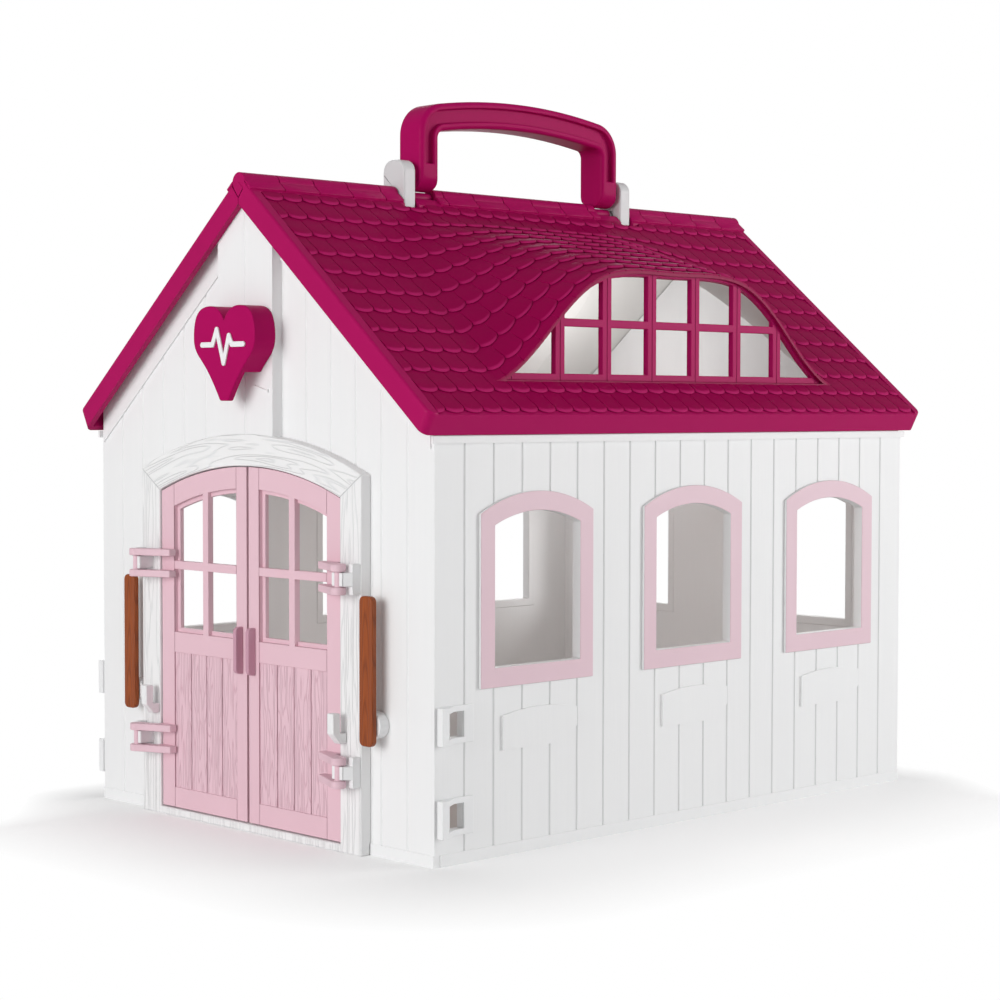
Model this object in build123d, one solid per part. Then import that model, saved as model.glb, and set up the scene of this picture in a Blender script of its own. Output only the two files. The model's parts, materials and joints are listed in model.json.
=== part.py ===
from build123d import *
import os
from math import atan2, cos, sin, sqrt

# Toy horse hospital, a carry-along barn. Millimetres, +Z up.
# The doors face -Y. The origin is the centre of the footprint, on the ground.

# Longer than any piece, for cuts that run right through
beyond = 400.0

# Cabin
cabin_width = 185.0
cabin_length = 252.0
wall_height = 139.6
wall_thickness = 2.6
skirting_height = 4.0
skirting_proud = 0.4
trim_height = 2.5
trim_proud = 1.0
trim_overrun = 1.5
lip_height = 5.0
lip_thickness = 1.3
long_board_count = 19
gable_board_pitch = 12.86
bay_half_width = 15.2
bay_proud = 4.3
groove_width = 0.9
groove_depth = 0.5
floor_thickness = 2.2

# Roof
eave_overhang = 5.3
eave_rise = 7.2
roof_rise = 82.1
fascia_drop = 7.0
fascia_lean = 3.6
fascia_corner = 3.0
rim_edge = 1.0
roof_skin = 2.4
rim_thickness = 2.4
gable_overhang = 7.0
tile_field_depth = 0.6
tile_field_margin = 4.0
tile_field_start = 7.0
ridge_axis_drop = 2.6
ridge_barrel_radius = 3.2
ridge_pin_radius = 1.25
knuckle_count = 17
knuckle_gap = 0.3
knuckle_tab = 3.6
end_knuckle_point = 5.0
rake_trim_width = 5.3
rake_trim_proud = 0.7
roof_seam = 0.3
roof_rest_gap = 0.6
barrel_gap = 0.5
ridge_pin_fit = 0.05
ridge_pin_inset = 1.4
ridge_bore_inset = 1.0

# Dormer window in each roof half
dormer_setback = 12.9
dormer_start_x = 14.0
dormer_start_share = 0.92
dormer_frame_depth = 2.2
dormer_recess = 1.5
dormer_lip = 1.0
dormer_foot_half = 91.0
dormer_flank = (66.0, 17.6)
dormer_knee = (52.0, 29.9)
dormer_shoulder = (40.0, 36.9)
dormer_brow = (27.0, 39.8)
dormer_height = 40.0
dormer_sill = 0.3
dormer_bottom_bar = 2.4
dormer_border = 1.9
dormer_seam = 0.05
mullion_width = 4.7
mullion_pitch = 23.6
transom_rise = 31.2
transom_height = 2.8

# Windows in the walls
window_half = 20.2
window_sill_z = 63.0
window_shoulder_z = 110.0
window_top_z = 114.4
window_border = 6.6
window_brow = 4.1
window_proud = 1.2
window_sleeve = 3.3
window_sleeve_overrun = 0.2
window_pitch_boards = 6
rear_window_x = 47.8
plaque_half = 17.7
plaque_low_z = 35.3
plaque_top_z = 48.6
plaque_shoulder_z = 46.8
plaque_clip = 5.2
plaque_offset = 1.5
plaque_proud = 0.8

# Door surround and doors
surround_half = 61.5
surround_shoulder_z = 126.5
surround_top_z = 139.3
doorway_half = 50.7
doorway_shoulder_z = 118.6
doorway_top_z = 128.2
sill_height = 2.7
door_gap = 0.4
door_thickness = 3.2
door_recess = 0.9
door_stop_lap = 2.6
pane_inner_x = 6.4
pane_outer_x = 42.9
muntin_x = 24.3
muntin_width = 3.1
muntin_depth = 2.4
pane_sill_z = 67.1
pane_rail_z = 91.5
pane_rail_height = 3.0
pane_crown_half = 45.0
pane_shoulder_z = 112.1
pane_top_z = 120.2
pane_step = 1.6
pane_rim = 1.5
door_meeting_play = 0.15
panel_low_z = 10.4
panel_high_z = 59.8
panel_recess = 0.5
plank_pitch = 9.1
pull_x = 3.5
pull_width = 1.8
pull_depth = 3.2
pull_low_z = 55.3
pull_height = 16.5
pull_corner = 1.7

# Door hinges
hinge_x = 56.8
hinge_proud = 10.2
hinge_pin_radius = 1.2
hinge_fit = 0.05
hinge_heights = (28.1, 92.1)
ear_thickness = 2.5
ear_gap = 5.2
ear_radius = 2.6
ear_root_length = 8.1
ear_end_depth = 3.0
ear_root_inset = 0.7
ear_root_thickness = 2.6
ear_crown_setback = 6.4
ear_crown_depth = 5.6
clip_radius = 2.7
clip_jaw_reach = 0.6
clip_stem_width = 6.6
clip_base_width = 2.2
clip_base_depth = 3.4
clip_base_inset = 0.3
jaw_play = 0.35

# Lock bars
bar_pivot_x = 66.5
bar_pivot_z = 44.1
bar_reach = 42.8
bar_tail = 6.7
bar_height = 6.6
bar_thickness = 2.2
bar_corner = 2.0
bar_gap = 0.3
bar_stub_radius = 1.5
bar_stub_length = 3.2
bar_fit = 0.05
hub_radius = 4.45
hub_floor = 0.5
hook_inner_x = 51.0
hook_outer_x = 54.3
hook_finger = 3.2
hook_top_z = 47.3
hook_base = 3.6

# Heart sign
heart_half = 17.2
heart_low_z = 150.8
heart_high_z = 183.6
heart_dip_z = 178.6
heart_depth = 9.3
heart_plate = 2.6
heart_body_low_z = 160.7
heart_tip_half = 2.2
heart_lobe_x = 8.9
heart_side_z = 172.8
heart_flank = (12.4, 164.3)
emblem_z = 170.2
emblem_proud = 0.7
emblem_line = 1.9
emblem_path = [(-11.5, 0), (-5.6, 0), (-3.2, 5.2), (0.6, -6.4), (3.6, 3.0), (5.2, 0), (11.5, 0)]

# Fence loops at the front corners
loop_heights = (15.9, 45.9)
loop_height = 12.4
loop_reach = 4.0
loop_bar = 2.7
loop_ear = 2.0
loop_hole_width = 5.6
loop_hole_height = 8.5
loop_hole_inset = 6.8
loop_plate_border = 4.4
loop_plate_proud = 0.8
loop_plate_lap = 1.5

# Ridge beam, handle posts and handle
beam_half_width = 5.5
beam_height = 8.0
beam_drop = 10.3
post_half_width = 5.8
post_thickness = 5.9
post_rise = 10.7
post_corner = 4.4
post_gap = 0.6
post_clear_radius = 9.2
handle_span = 106.5
handle_leg_width = 9.1
handle_half_thickness = 6.35
handle_pivot_rise = 6.0
handle_rise = 29.9
handle_shoulder_rise = 24.6
handle_inner_rise = 19.7
handle_inner_shoulder_rise = 16.0
handle_outer_corner = 12.0
handle_inner_corner = 3.0
handle_edge = 1.6
handle_channel_border = 2.5
handle_channel_depth = 1.9
handle_channel_rise = 3.9
handle_boss_radius = 4.2
handle_boss_length = 1.75
handle_boss_root = 2.0
handle_boss_gap = 0.4
handle_stub_radius = 2.0
handle_stub_inset = 1.0
handle_bore_inset = 0.6
handle_fit = 0.05
leg_side_play = 0.7

# Screws that hold the floor
corner_block = 8.0
corner_block_height = 8.8
screw_radius = 1.1
screw_fit = 0.05
screw_length = 7.0
screw_head_radius = 2.2
screw_head_fit = 0.1
screw_head_height = 1.3
screw_slot = 2.6
screw_slot_width = 0.6
screw_slot_depth = 0.5

# Worked-out places
half_width = cabin_width / 2
half_length = cabin_length / 2
inner_x = half_width - wall_thickness
inner_y = half_length - wall_thickness
bay_face = half_length + bay_proud
roof_half_length = half_length + gable_overhang
eave_x = half_width + eave_overhang
eave_z = wall_height + eave_rise
ridge_line_z = eave_z + roof_rise
ridge_axis_z = ridge_line_z - ridge_axis_drop
slope = roof_rise / eave_x
slope_angle = atan2(roof_rise, eave_x)
fascia_low = (eave_x - fascia_lean, eave_z - fascia_drop)
rim_drop = ridge_line_z - slope * fascia_low[0] - fascia_low[1]
skin_drop = roof_skin / cos(slope_angle)
field_drop = tile_field_depth / cos(slope_angle)
dormer_x = eave_x - dormer_setback
frame_front_x = dormer_x - dormer_recess
frame_back_x = frame_front_x - dormer_frame_depth
dormer_lift = dormer_seam - field_drop
transom_z = eave_z + transom_rise
door_face = bay_face - door_recess
door_back = door_face - door_thickness
bar_back = bay_face + bar_gap
bar_front = bar_back + bar_thickness
hinge_y = half_length + hinge_proud
beam_top_z = ridge_line_z - beam_drop
post_top_z = ridge_line_z + post_rise
handle_pivot_z = ridge_line_z + handle_pivot_rise
leg_outer_y = handle_span / 2
leg_inner_y = leg_outer_y - handle_leg_width
post_inner_y = leg_outer_y + handle_boss_length + handle_boss_gap
post_outer_y = post_inner_y + post_thickness
board_pitch = cabin_length / long_board_count
lip_face = half_width - lip_thickness
roof_rest_drop = skin_drop + roof_rest_gap
gable_peak_z = ridge_axis_z - ridge_barrel_radius - barrel_gap
gable_peak_x = (ridge_line_z - roof_rest_drop - gable_peak_z) / slope
knuckle_pitch = 2 * roof_half_length / knuckle_count
window_pitch = window_pitch_boards * board_pitch


def block(x0, x1, y0, y1, z0, z1):
    return Pos((x0 + x1) / 2, (y0 + y1) / 2, (z0 + z1) / 2) * Box(x1 - x0, y1 - y0, z1 - z0)


def slab_x(sketch, x0, x1):
    # A flat outline in Y and Z, given thickness along X
    plane = Plane(origin=(x0, 0, 0), x_dir=(0, 1, 0), z_dir=(1, 0, 0))
    return extrude(plane * sketch, amount=x1 - x0)


def slab_y(sketch, y0, y1):
    # A flat outline in X and Z, given thickness along Y
    plane = Plane(origin=(0, y1, 0), x_dir=(1, 0, 0), z_dir=(0, -1, 0))
    return extrude(plane * sketch, amount=y1 - y0)


def slab_z(sketch, z0, z1):
    return extrude(Pos(0, 0, z0) * sketch, amount=z1 - z0)


def polygon(points):
    return make_face(Polyline(*points, close=True))


def rod_y(x, z, radius, y0, y1):
    return slab_y(Pos(x, z) * Circle(radius), y0, y1)


def mirrored(shape):
    return mirror(shape, about=Plane.YZ)


def both_sides(shape):
    return shape + mirrored(shape)


def arched(half, low, shoulder, top, centre=0.0):
    left, right = centre - half, centre + half
    sides = Polyline((left, shoulder), (left, low), (right, low), (right, shoulder))
    crown = ThreePointArc((right, shoulder), (centre, top), (left, shoulder))
    return make_face([sides.edges(), crown])


def roof_under(x, drop):
    # Height of a line that runs under the tiles, a given drop below them
    return ridge_line_z - slope * abs(x) - drop


# Walls


def groove(x, face, low, high, toward):
    # A V-shaped groove in a face that looks along Y
    half = groove_width / 2
    outline = polygon([(x - half, face), (x + half, face), (x, face - toward * groove_depth)])
    return slab_z(outline, low, high)


def gable_outline():
    right = [
        (half_width, 0),
        (half_width, wall_height),
        (lip_face, wall_height),
        (lip_face, roof_under(lip_face, roof_rest_drop)),
        (gable_peak_x, gable_peak_z),
    ]
    left = [(-x, z) for x, z in reversed(right)]
    return polygon(right + left)


def rake_trim(face, toward):
    # The raised strip that follows the slope under the bargeboard
    low = rim_drop + rake_trim_width / cos(slope_angle)
    points = [
        (0, gable_peak_z),
        (gable_peak_x, gable_peak_z),
        (lip_face, roof_under(lip_face, roof_rest_drop)),
        (lip_face, roof_under(lip_face, low)),
        (0, roof_under(0, low)),
    ]
    return both_sides(slab_y(polygon(points), *sorted((face, face + toward * rake_trim_proud))))


def skirting_y(face, toward):
    y0, y1 = sorted((face, face + toward * skirting_proud))
    return block(-half_width, half_width, y0, y1, 0, skirting_height)


def board_lines(stop_x):
    # Where the gable boards meet, counted in from the corners
    lines = []
    x = half_width - gable_board_pitch
    while x > stop_x + gable_board_pitch / 2:
        lines += [x, -x]
        x -= gable_board_pitch
    return lines


def make_front_wall():
    wall = slab_y(gable_outline(), -half_length, -inner_y)
    wall += rake_trim(-half_length, -1)
    wall += skirting_y(-half_length, -1)
    bay = block(-bay_half_width, bay_half_width, -bay_face, -half_length, sill_height, beyond)
    wall += bay & slab_y(gable_outline(), -bay_face, -half_length)
    wall -= [groove(x, -half_length, skirting_height, beyond, -1) for x in board_lines(bay_half_width)]
    wall -= groove(0, -bay_face, skirting_height, beyond, -1)
    wall -= slab_y(surround_outline(), -beyond, -half_length)
    stop = door_stop_lap
    opening = arched(doorway_half - stop, sill_height, doorway_shoulder_z - stop, doorway_top_z - stop)
    return wall - slab_y(opening, -beyond, 0)


def rear_window_places():
    return (-rear_window_x, rear_window_x)


def window_hole(centre):
    # The hole in the wall, as wide as the frame's sleeve
    low = window_sill_z - window_sleeve
    shoulder = window_shoulder_z + window_sleeve / 2
    return arched(window_half + window_sleeve, low, shoulder, window_top_z + window_sleeve, centre)


def make_rear_wall():
    wall = slab_y(gable_outline(), inner_y, half_length)
    wall += rake_trim(half_length, 1)
    wall += skirting_y(half_length, 1)
    wall -= [groove(x, half_length, skirting_height, beyond, 1) for x in board_lines(0) + [0]]
    for centre in rear_window_places():
        wall -= slab_y(window_hole(centre), 0, beyond)
    return wall


def side_window_places():
    return [-window_pitch, 0.0, window_pitch]


def plaque(centre):
    # The raised arched board under a window, with one clipped corner
    left = centre - plaque_half
    right = centre + plaque_half
    low = Polyline(
        (left, plaque_shoulder_z),
        (left, plaque_low_z),
        (right - plaque_clip, plaque_low_z),
        (right, plaque_low_z + plaque_clip),
        (right, plaque_shoulder_z),
    )
    crown = ThreePointArc((right, plaque_shoulder_z), (centre, plaque_top_z), (left, plaque_shoulder_z))
    return slab_x(make_face([low.edges(), crown]), half_width, half_width + plaque_proud)


def side_groove(y):
    half = groove_width / 2
    outline = polygon([(half_width, y - half), (half_width, y + half), (half_width - groove_depth, y)])
    return slab_z(outline, skirting_height, wall_height - trim_height)


def screw_places():
    place = inner_y - corner_block / 2
    return [(inner_x - corner_block / 2, place), (inner_x - corner_block / 2, -place)]


def rod_z(x, y, radius, z0, z1):
    return slab_z(Pos(x, y) * Circle(radius), z0, z1)


def corner_blocks():
    # The posts inside the corners that take the floor's screws
    blocks = Part()
    half = corner_block / 2
    for x, y in screw_places():
        top = floor_thickness + corner_block_height
        post = block(x - half, x + half, y - half, y + half, floor_thickness, top)
        blocks += post - rod_z(x, y, screw_radius, 0, beyond)
    return blocks


def loop_hole(height):
    y0 = -half_length + loop_hole_inset
    z0 = height - loop_hole_height / 2
    return block(0, beyond, y0, y0 + loop_hole_width, z0, z0 + loop_hole_height)


def make_right_wall():
    wall = block(inner_x, half_width, -inner_y, inner_y, 0, wall_height)
    wall += block(inner_x, lip_face, -inner_y, inner_y, wall_height, wall_height + lip_height)
    wall += block(half_width, half_width + skirting_proud, -inner_y, inner_y, 0, skirting_height)
    trim_y = half_length + trim_overrun
    trim_low = wall_height - trim_height
    wall += block(half_width, half_width + trim_proud, -trim_y, trim_y, trim_low, wall_height)
    wall -= [side_groove(-half_length + board_pitch * step) for step in range(1, long_board_count)]
    for centre in side_window_places():
        wall += plaque(centre + plaque_offset)
        wall -= slab_x(window_hole(centre), 0, beyond)
    for height in loop_heights:
        wall -= loop_hole(height)
    return wall + corner_blocks()


def make_floor():
    floor = block(-inner_x, inner_x, -inner_y, inner_y, 0, floor_thickness)
    holes = Part()
    for x, y in screw_places():
        holes += rod_z(x, y, screw_radius + screw_fit, 0, beyond)
        holes += rod_z(x, y, screw_head_radius + screw_head_fit, 0, screw_head_height)
    return floor - both_sides(holes)


def make_screws():
    screws = Part()
    for x, y in screw_places():
        screw = rod_z(x, y, screw_head_radius, 0, screw_head_height)
        screw += rod_z(x, y, screw_radius - screw_fit, screw_head_height, screw_head_height + screw_length)
        for long, wide in ((screw_slot, screw_slot_width), (screw_slot_width, screw_slot)):
            screw -= Pos(x, y, screw_slot_depth / 2) * Box(long, wide, screw_slot_depth)
        screws += screw
    return both_sides(screws)


# Window frames


def frame_flat(centre):
    low = window_sill_z - window_border
    shoulder = window_shoulder_z + window_brow
    return arched(window_half + window_border, low, shoulder, window_top_z + window_border, centre)


def window_opening(centre):
    return arched(window_half, window_sill_z, window_shoulder_z, window_top_z, centre)


def make_side_frame(centre):
    frame = slab_x(frame_flat(centre), half_width, half_width + window_proud)
    frame += slab_x(window_hole(centre), inner_x - window_sleeve_overrun, half_width)
    return frame - slab_x(window_opening(centre), 0, beyond)


def make_rear_frame(centre):
    frame = slab_y(frame_flat(centre), half_length, half_length + window_proud)
    frame += slab_y(window_hole(centre), inner_y - window_sleeve_overrun, half_length)
    return frame - slab_y(window_opening(centre), 0, beyond)


# Door surround


def surround_outline():
    return arched(surround_half, 0, surround_shoulder_z, surround_top_z)


def doorway_outline():
    return arched(doorway_half, sill_height, doorway_shoulder_z, doorway_top_z)


def make_surround():
    frame = slab_y(surround_outline(), -bay_face, -half_length)
    frame -= slab_y(doorway_outline(), -beyond, 0)
    return frame - skirting_y(-half_length, -1)


# Doors, modelled on the +X side and mirrored


def swing_reach(depth):
    # How far a point at this depth may stand from the hinge and still miss the other leaf
    return sqrt((hinge_x - door_meeting_play) ** 2 - depth**2)


def door_plan():
    outer = doorway_half - door_gap
    front = hinge_x - swing_reach(hinge_y - door_face)
    back = hinge_x - swing_reach(hinge_y - door_back)
    return polygon([(front, -door_face), (outer, -door_face), (outer, -door_back), (back, -door_back)])


def door_outline():
    shoulder = doorway_shoulder_z - door_gap
    return arched(doorway_half - door_gap, sill_height + door_gap, shoulder, doorway_top_z - door_gap)


def pane_outline():
    # The open part of a leaf, under an arched top rail
    crown = arched(pane_crown_half, pane_sill_z, pane_shoulder_z, pane_top_z)
    middle, wide = (pane_inner_x + pane_outer_x) / 2, pane_outer_x - pane_inner_x
    return crown & (Pos(middle, pane_sill_z) * Rectangle(wide, beyond))


def make_door():
    outline = slab_y(door_outline(), -door_face, -door_back)
    leaf = slab_z(door_plan(), 0, beyond) & outline
    leaf -= slab_y(pane_outline(), -beyond, -door_face + pane_step)
    leaf -= slab_y(offset(pane_outline(), -pane_rim), -beyond, 0)
    half = muntin_width / 2
    bar_back_y = -door_face + muntin_depth
    bars = block(muntin_x - half, muntin_x + half, -door_face, bar_back_y, pane_sill_z, beyond)
    half = pane_rail_height / 2
    bars += block(pane_inner_x, pane_outer_x, -door_face, bar_back_y, pane_rail_z - half, pane_rail_z + half)
    leaf += bars & outline
    panel_face = -door_face + panel_recess
    leaf -= block(pane_inner_x, pane_outer_x, -beyond, panel_face, panel_low_z, panel_high_z)
    middle = (pane_inner_x + pane_outer_x) / 2
    for step in (-1, 0, 1):
        leaf -= groove(middle + step * plank_pitch, panel_face, panel_low_z, panel_high_z, -1)
    return leaf


def make_pull():
    high = pull_low_z + pull_height
    half = pull_width / 2
    pull = block(pull_x - half, pull_x + half, -door_face - pull_depth, -door_face, pull_low_z, high)
    front_edges = pull.edges().filter_by(Axis.X).sort_by(Axis.Y)[:2]
    return fillet(front_edges, pull_corner)


def ear_outline():
    root = -door_face
    outer_x = doorway_half - ear_root_inset
    near_x = outer_x - ear_root_length
    arm = [
        (near_x, root),
        (outer_x, root),
        (outer_x, root - ear_root_thickness),
        (hinge_x, -hinge_y + ear_radius),
        (hinge_x, -hinge_y - ear_radius),
        (near_x + ear_crown_setback, root - ear_crown_depth),
        (near_x, root - ear_end_depth),
    ]
    return polygon(arm) + Pos(hinge_x, -hinge_y) * Circle(ear_radius)


def make_door_hinges():
    hinges = Part()
    for height in hinge_heights:
        low = height - ear_gap / 2 - ear_thickness
        high = height + ear_gap / 2
        for ear_low in (low, high):
            hinges += slab_z(ear_outline(), ear_low, ear_low + ear_thickness)
        half = ear_thickness / 2
        hinges += rod_z(hinge_x, -hinge_y, hinge_pin_radius, low + half, high + half)
    return hinges


def clip_outline():
    ring = Pos(hinge_x, -hinge_y) * Circle(clip_radius)
    base_x = surround_half - clip_base_inset
    stem = polygon(
        [
            (base_x - clip_stem_width, -bay_face),
            (base_x, -bay_face),
            (base_x, -bay_face - clip_base_depth),
            (hinge_x + clip_radius, -hinge_y),
            (hinge_x - clip_radius, -hinge_y),
        ]
    )
    bore = Pos(hinge_x, -hinge_y) * Circle(hinge_pin_radius + hinge_fit)
    mouth_y = -hinge_y - clip_jaw_reach - clip_radius
    mouth = Pos(hinge_x, mouth_y) * Rectangle(2 * clip_radius, 2 * clip_radius)
    return ring + stem - bore - mouth


def make_hinge_clips():
    clips = Part()
    base_x = surround_half - clip_base_inset
    for height in hinge_heights:
        jaw = ear_gap / 2 - jaw_play
        clips += slab_z(clip_outline(), height - jaw, height + jaw)
        tall = ear_gap / 2 + ear_thickness
        face = -bay_face - clip_base_depth
        clips += block(base_x - clip_base_width, base_x, face, -bay_face, height - tall, height + tall)
    return both_sides(clips)


# Lock bars, modelled raised on the +X side and mirrored


def make_bar():
    outline = Pos(bar_pivot_x, bar_pivot_z + (bar_reach - bar_tail) / 2)
    outline *= RectangleRounded(bar_height, bar_reach + bar_tail, bar_corner)
    bar = slab_y(outline, -bar_front, -bar_back)
    return bar + rod_y(bar_pivot_x, bar_pivot_z, bar_stub_radius, -bar_back, -bar_back + bar_stub_length)


def make_hubs():
    hub = rod_y(bar_pivot_x, bar_pivot_z, hub_radius, -bay_face, -half_length)
    hub -= rod_y(bar_pivot_x, bar_pivot_z, bar_stub_radius + bar_fit, -beyond, -half_length - hub_floor)
    return both_sides(hub)


def make_hooks():
    # The J hooks that the bars drop into
    bar_low = bar_pivot_z - bar_height / 2 - bar_gap
    finger_back = bar_front + bar_gap
    finger_front = finger_back + hook_finger
    profile = polygon(
        [
            (-bay_face, bar_low),
            (-finger_back, bar_low),
            (-finger_back, hook_top_z),
            (-finger_front, hook_top_z),
            (-finger_front, bar_low),
            (-finger_back, bar_low - hook_base),
            (-bay_face, bar_low - hook_base),
        ]
    )
    return both_sides(slab_x(profile, hook_inner_x, hook_outer_x))


# Heart sign


def heart_outline():
    # The right half is two curves, and the left half mirrors it
    side = (heart_half, heart_side_z)
    tip = (heart_tip_half, heart_low_z)
    lobe = Spline((0, heart_dip_z), (heart_lobe_x, heart_high_z), side, tangents=[(0.55, 1), (0, -1)])
    flank = Spline(side, heart_flank, tip, tangents=[(0, -1), (-0.62, -1)])
    right = [lobe, flank]
    left = [mirrored(curve) for curve in right]
    base = Line(tip, (-heart_tip_half, heart_low_z))
    return make_face([*right, base, *left])


def make_heart():
    front = -bay_face - heart_depth
    plate = slab_y(heart_outline(), front, front + heart_plate)
    body = slab_y(heart_outline(), front + heart_plate, -bay_face)
    return plate + (body - block(-heart_half, heart_half, -beyond, 0, 0, heart_body_low_z))


def make_emblem():
    # A plain pulse line, raised on the sign's face
    line = Polyline(*[(x, emblem_z + z) for x, z in emblem_path])
    outline = make_face(offset(line, emblem_line / 2, kind=Kind.ARC).edges())
    front = -bay_face - heart_depth
    return slab_y(outline, front - emblem_proud, front)


# Fence loops


def make_loops():
    loops = Part()
    bar_y = -half_length + loop_bar
    hole_y = -half_length + loop_hole_inset
    plate_y = hole_y + loop_hole_width + loop_plate_border
    face_x = half_width + loop_reach
    plate_x = half_width + loop_plate_proud
    plan = polygon(
        [
            (half_width, bar_y + loop_plate_proud),
            (face_x - loop_bar, -half_length),
            (face_x, -half_length),
            (face_x, bar_y),
            (plate_x, hole_y + loop_plate_lap),
            (plate_x, plate_y),
            (half_width, plate_y),
        ]
    )
    for height in loop_heights:
        low = height - loop_height / 2
        high = low + loop_height
        gap = block(0, beyond, bar_y, hole_y + loop_hole_width, low + loop_ear, high - loop_ear)
        loops += slab_z(plan, low, high) - gap
    return both_sides(loops)


# Ridge beam, posts, pin and handle


def make_beam():
    return block(-beam_half_width, beam_half_width, -inner_y, inner_y, beam_top_z - beam_height, beam_top_z)


def make_post(end):
    height = post_top_z - beam_top_z
    outline = Pos(0, beam_top_z + height / 2) * Rectangle(2 * post_half_width, height)
    outline = fillet(outline.vertices().sort_by(Axis.Y)[-2:], post_corner)
    y0, y1 = sorted((end * post_inner_y, end * post_outer_y))
    post = slab_y(outline, y0, y1)
    post -= rod_y(0, ridge_axis_z, ridge_pin_radius + ridge_pin_fit, -beyond, beyond)
    bore_end = end * (post_outer_y - handle_bore_inset)
    return post - rod_y(0, handle_pivot_z, handle_stub_radius + handle_fit, *sorted((0, bore_end)))


def make_ridge_pin():
    length = roof_half_length - ridge_pin_inset
    return rod_y(0, ridge_axis_z, ridge_pin_radius, -length, length)


def handle_arch(half, shoulder, rise, drop, corner):
    # Heights are given from the pivot
    outline = arched(half, handle_pivot_z - drop, handle_pivot_z + shoulder, handle_pivot_z + rise)
    return fillet(outline.vertices().sort_by(Axis.Y)[-2:], corner)


def handle_profile():
    drop = handle_half_thickness
    outer = handle_arch(leg_outer_y, handle_shoulder_rise, handle_rise, drop, handle_outer_corner)
    shoulder, rise = handle_inner_shoulder_rise, handle_inner_rise
    return outer - handle_arch(leg_inner_y, shoulder, rise, 2 * drop, handle_inner_corner)


def leg_end_profile():
    # Seen along Y, the legs end in a half round about the pivot
    column = Pos(0, handle_pivot_z + handle_span / 2) * Rectangle(2 * handle_half_thickness, handle_span)
    return column + Pos(0, handle_pivot_z) * Circle(handle_half_thickness)


def make_handle():
    profile = handle_profile()
    side = handle_half_thickness
    handle = slab_x(profile, -side, side)
    faces = handle.faces().sort_by(Axis.X)
    handle = fillet(faces[0].edges() + faces[-1].edges(), handle_edge)
    handle &= slab_y(leg_end_profile(), -beyond, beyond)
    channel_low = handle_pivot_z + handle_channel_rise
    above = Pos(0, channel_low + handle_span / 2) * Rectangle(2 * handle_span, handle_span)
    channel = offset(profile, -handle_channel_border) & above
    handle -= slab_x(channel, side - handle_channel_depth, side + handle_channel_depth)
    handle -= slab_x(channel, -side - handle_channel_depth, -side + handle_channel_depth)
    root = leg_outer_y - handle_boss_root
    for radius, reach in (
        (handle_boss_radius, leg_outer_y + handle_boss_length),
        (handle_stub_radius, post_outer_y - handle_stub_inset),
    ):
        handle += rod_y(0, handle_pivot_z, radius, root, reach)
        handle += rod_y(0, handle_pivot_z, radius, -reach, -root)
    return handle


# Roof halves, modelled on the +X side


def brow_points(share):
    # Half the brow's curve, foot to crown, as sideways places and heights over the slope
    narrow = dormer_start_share + (1 - dormer_start_share) * share
    shape = [(dormer_foot_half, 0), dormer_flank, dormer_knee, dormer_shoulder, dormer_brow]
    half = [(y * narrow, height * share) for y, height in shape]
    return half + [(0, dormer_height * share)] + [(-y, height) for y, height in reversed(half)]


def dormer_outline(x, lift, below):
    # The brow's cross section at one distance from the ridge
    share = (x - dormer_start_x) / (dormer_x - dormer_start_x)
    base_z = roof_under(x, 0) + lift
    points = [(y, base_z + height) for y, height in brow_points(share)]
    left, right = points[-1], points[0]
    foot = Polyline(left, (left[0], base_z - below), (right[0], base_z - below), right)
    return make_face([Spline(*points), *foot.edges()])


def dormer_wedge(lift, below, far):
    # A body that tapers from the window back toward the ridge
    faces = []
    for x in (dormer_start_x, far):
        plane = Plane(origin=(x, 0, 0), x_dir=(0, 1, 0), z_dir=(1, 0, 0))
        faces.append(plane * dormer_outline(x, lift, below))
    return loft(faces, ruled=True)


def roof_outline():
    # The half's end view: slope, fascia and the bargeboard's underside
    start = roof_seam / 2
    low = (start, roof_under(start, rim_drop))
    return polygon([(start, roof_under(start, 0)), (eave_x, eave_z), fascia_low, low])


def rounded_roof():
    # The bargeboards and fascia meet in round corners
    roof = slab_y(roof_outline(), -roof_half_length, roof_half_length)
    middle = (eave_x + fascia_low[0]) / 2
    upright = [edge for edge in roof.edges() if abs(edge.center().X - middle) < rim_edge]
    roof = fillet(upright, fascia_corner)
    slope_face = roof.faces().sort_by(lambda face: face.normal_at().Z)[-1]
    return fillet([edge for edge in slope_face.edges() if edge.center().X > rim_edge], rim_edge)


def roof_hollow():
    # The room under the skin, between the bargeboards
    low_x, low_z = fascia_low
    face_x = low_x - rim_thickness
    top_x = eave_x - rim_thickness
    fall = roof_under(top_x, 0) - low_z
    share = skin_drop / (fall + slope * fascia_lean)
    corner_x = top_x - fascia_lean * share
    corner = (corner_x, roof_under(corner_x, skin_drop))
    points = [(0, roof_under(0, skin_drop)), corner, (face_x, low_z), (face_x, 0), (0, 0)]
    half = roof_half_length - rim_thickness
    return slab_y(polygon(points), -half, half)


def tile_field():
    # The sunk panel that the tiles lie in
    start, end = tile_field_start, 2 * eave_x
    points = [
        (start, ridge_line_z),
        (end, ridge_line_z),
        (end, roof_under(end, field_drop)),
        (start, roof_under(start, field_drop)),
    ]
    half = roof_half_length - tile_field_margin
    return slab_y(polygon(points), -half, half)


def by_ridge(along, above):
    # A point given down the slope and square to it, from the ridge pin
    x = along * cos(slope_angle) + above * sin(slope_angle)
    return x, ridge_axis_z - along * sin(slope_angle) + above * cos(slope_angle)


def ridge_gap():
    # The skin stops short of the ridge, where the knuckles turn
    corners = [(knuckle_tab, beyond), (knuckle_tab, -beyond), (-beyond, -beyond), (-beyond, beyond)]
    return slab_y(polygon([by_ridge(along, above) for along, above in corners]), -beyond, beyond)


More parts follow.
